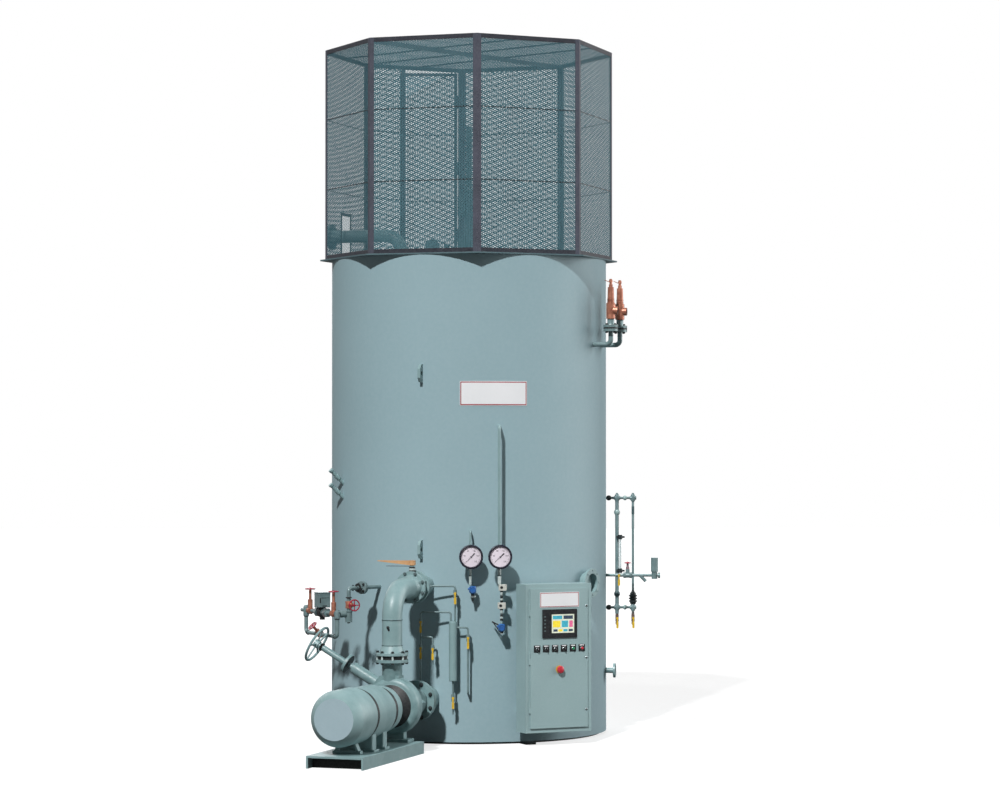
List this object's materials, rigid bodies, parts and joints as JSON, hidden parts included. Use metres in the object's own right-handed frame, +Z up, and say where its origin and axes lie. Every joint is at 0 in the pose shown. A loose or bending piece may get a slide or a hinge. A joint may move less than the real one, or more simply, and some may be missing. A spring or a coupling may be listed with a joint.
{
  "type": "electrode boiler",
  "caption": "Upright round electrode boiler with a mesh cage on its deck, circulation pump, feed and sample piping, relief valves, water column and control cabinet.",
  "frame": {"origin": "vessel axis at floor level", "axes": "+Z up along the vessel axis, -Y through the front corner of the cage, +X to the right seen from the front"},
  "size_m": [3.1796, 4.5024, 6.051],
  "materials": {
    "black_paint": "satin black paint",
    "bronze": "cast bronze",
    "clear_glass": "clear tube",
    "dark_frame": "dark satin paint",
    "dark_green_paint": "satin darker grey-green paint",
    "gauge_black": "gloss black",
    "green_paint": "satin grey-green paint",
    "instrument_body": "beige and blue enamel",
    "red_enamel": "crimson enamel",
    "steel": "brushed",
    "tan_paint": "tan paint",
    "wire": "galvanised wire",
    "yellow_vinyl": "yellow sleeve"
  },
  "bodies": {
    "boiler": {"base_plate": "black_paint", "bell_housing": "green_paint", "blow_line": "steel", "cabinet_box": "green_paint", "cabinet_mounts": "steel", "cage_posts": "dark_frame", "cage_rails": "dark_frame", "cover_plate": "dark_green_paint", "deck_plate": "dark_green_paint", "discharge_riser": "green_paint", "discharge_valve": "green_paint", "fan_cover": "green_paint", "feed_control_valve": "dark_green_paint", "feed_gate_valves": "bronze", "feed_piping": "green_paint", "gauge_glass": "clear_glass", "gauge_piping": "steel", "gauges": "gauge_black", "glass_valves": "black_paint", "head_fittings": "dark_green_paint", "instruments": "instrument_body", "lift_cylinder": "dark_green_paint", "lifting_lugs": "green_paint", "mesh_panels": "wire", "motor": "green_paint", "pump_base": "dark_green_paint", "pump_casing": "green_paint", "pump_nozzles": "green_paint", "relief_piping": "green_paint", "relief_valves": "bronze", "roof_frame": "dark_frame", "roof_mesh": "wire", "sample_cooler": "steel", "sample_piping": "steel", "side_nozzles": "green_paint", "steam_pipe": "green_paint", "suction_valve": "green_paint", "vessel_shell": "green_paint", "water_column": "steel"},
    "cage_door": {"cage_door": "dark_frame"},
    "cabinet_door": {"cabinet_door": "green_paint", "door_controls": "black_paint"},
    "suction_handwheel": {"suction_handwheel": "green_paint"},
    "discharge_lever": {"discharge_lever": "tan_paint"},
    "feed_wheel_left": {"feed_wheel_left": "red_enamel"},
    "feed_wheel_right": {"feed_wheel_right": "red_enamel"},
    "bypass_wheel": {"bypass_wheel": "red_enamel"},
    "riser_wheel": {"riser_wheel": "red_enamel"},
    "blow_wheel": {"blow_wheel": "red_enamel"},
    "blow_lever": {"blow_lever": "yellow_vinyl"},
    "column_lever_far": {"column_lever_far": "yellow_vinyl"},
    "column_lever_near": {"column_lever_near": "yellow_vinyl"},
    "sample_lever_branch": {"sample_lever_branch": "yellow_vinyl"},
    "sample_lever_drain": {"sample_lever_drain": "yellow_vinyl"},
    "sample_lever_left": {"sample_lever_left": "yellow_vinyl"},
    "sample_lever_lower": {"sample_lever_lower": "yellow_vinyl"},
    "sample_lever_right": {"sample_lever_right": "yellow_vinyl"},
    "sample_lever_upper": {"sample_lever_upper": "yellow_vinyl"}
  },
  "joints": [
    {"name": "cage_door_hinge", "type": "hinge", "parent": "boiler", "child": "cage_door", "pos_m": [-0.03986, 1.27215, 5.12], "axis": [0, 0, -1], "range_deg": [-24, 66]},
    {"name": "cabinet_door_hinge", "type": "hinge", "parent": "boiler", "child": "cabinet_door", "pos_m": [0.43567, -1.42548, 0.74], "axis": [0, 0, -1], "range_deg": [0, 110]},
    {"name": "suction_handwheel_turn", "type": "hinge", "parent": "boiler", "child": "suction_handwheel", "pos_m": [-1.35472, -1.26269, 0.8645], "axis": [-0.8001, 0.3314, 0.5], "continuous": true},
    {"name": "discharge_lever_turn", "type": "hinge", "parent": "boiler", "child": "discharge_lever", "pos_m": [-0.55546, -1.41678, 1.534], "axis": [0, 0, 1], "range_deg": [0, 90]},
    {"name": "feed_wheel_left_turn", "type": "hinge", "parent": "boiler", "child": "feed_wheel_left", "pos_m": [-1.41158, -0.71566, 1.303], "axis": [0, 0, 1], "continuous": true},
    {"name": "feed_wheel_right_turn", "type": "hinge", "parent": "boiler", "child": "feed_wheel_right", "pos_m": [-1.21411, -1.19239, 1.303], "axis": [0, 0, 1], "continuous": true},
    {"name": "bypass_wheel_turn", "type": "hinge", "parent": "boiler", "child": "bypass_wheel", "pos_m": [-1.39254, -0.95564, 0.99925], "axis": [-0.6533, -0.2706, 0.7071], "continuous": true},
    {"name": "riser_wheel_turn", "type": "hinge", "parent": "boiler", "child": "riser_wheel", "pos_m": [-1.03989, -1.31193, 1.192], "axis": [0.4067, -0.9135, 0], "continuous": true},
    {"name": "blow_wheel_turn", "type": "hinge", "parent": "boiler", "child": "blow_wheel", "pos_m": [1.39462, -0.22088, 1.5], "axis": [0, 0, 1], "continuous": true},
    {"name": "sample_lever_upper_turn", "type": "hinge", "parent": "boiler", "child": "sample_lever_upper", "pos_m": [-0.18883, -1.3218, 1.29], "axis": [-0.0534, -0.9986, 0], "range_deg": [0, 90]},
    {"name": "sample_lever_left_turn", "type": "hinge", "parent": "boiler", "child": "sample_lever_left", "pos_m": [-0.48041, -1.30622, 1.048], "axis": [-0.0534, -0.9986, 0], "range_deg": [0, 90]},
    {"name": "sample_lever_lower_turn", "type": "hinge", "parent": "boiler", "child": "sample_lever_lower", "pos_m": [-0.48041, -1.30622, 0.827], "axis": [0.0534, 0.9986, 0], "range_deg": [0, 90]},
    {"name": "sample_lever_branch_turn", "type": "hinge", "parent": "boiler", "child": "sample_lever_branch", "pos_m": [-0.37856, -1.31166, 0.819], "axis": [-0.0534, -0.9986, 0], "range_deg": [0, 90]},
    {"name": "sample_lever_right_turn", "type": "hinge", "parent": "boiler", "child": "sample_lever_right", "pos_m": [-0.07999, -1.32762, 0.912], "axis": [-0.0534, -0.9986, 0], "range_deg": [0, 90]},
    {"name": "sample_lever_drain_turn", "type": "hinge", "parent": "boiler", "child": "sample_lever_drain", "pos_m": [-0.2068, -1.32084, 0.405], "axis": [-0.0534, -0.9986, 0], "range_deg": [0, 90]},
    {"name": "column_lever_near_turn", "type": "hinge", "parent": "boiler", "child": "column_lever_near", "pos_m": [1.323, -0.034, 1], "axis": [0, -1, 0], "range_deg": [0, 90]},
    {"name": "column_lever_far_turn", "type": "hinge", "parent": "boiler", "child": "column_lever_far", "pos_m": [1.466, -0.034, 1], "axis": [0, -1, 0], "range_deg": [0, 90]},
    {"name": "blow_lever_turn", "type": "hinge", "parent": "boiler", "child": "blow_lever", "pos_m": [1.31621, -0.24289, 1.391], "axis": [-0.1564, -0.9877, 0], "range_deg": [0, 90]}
  ]
}
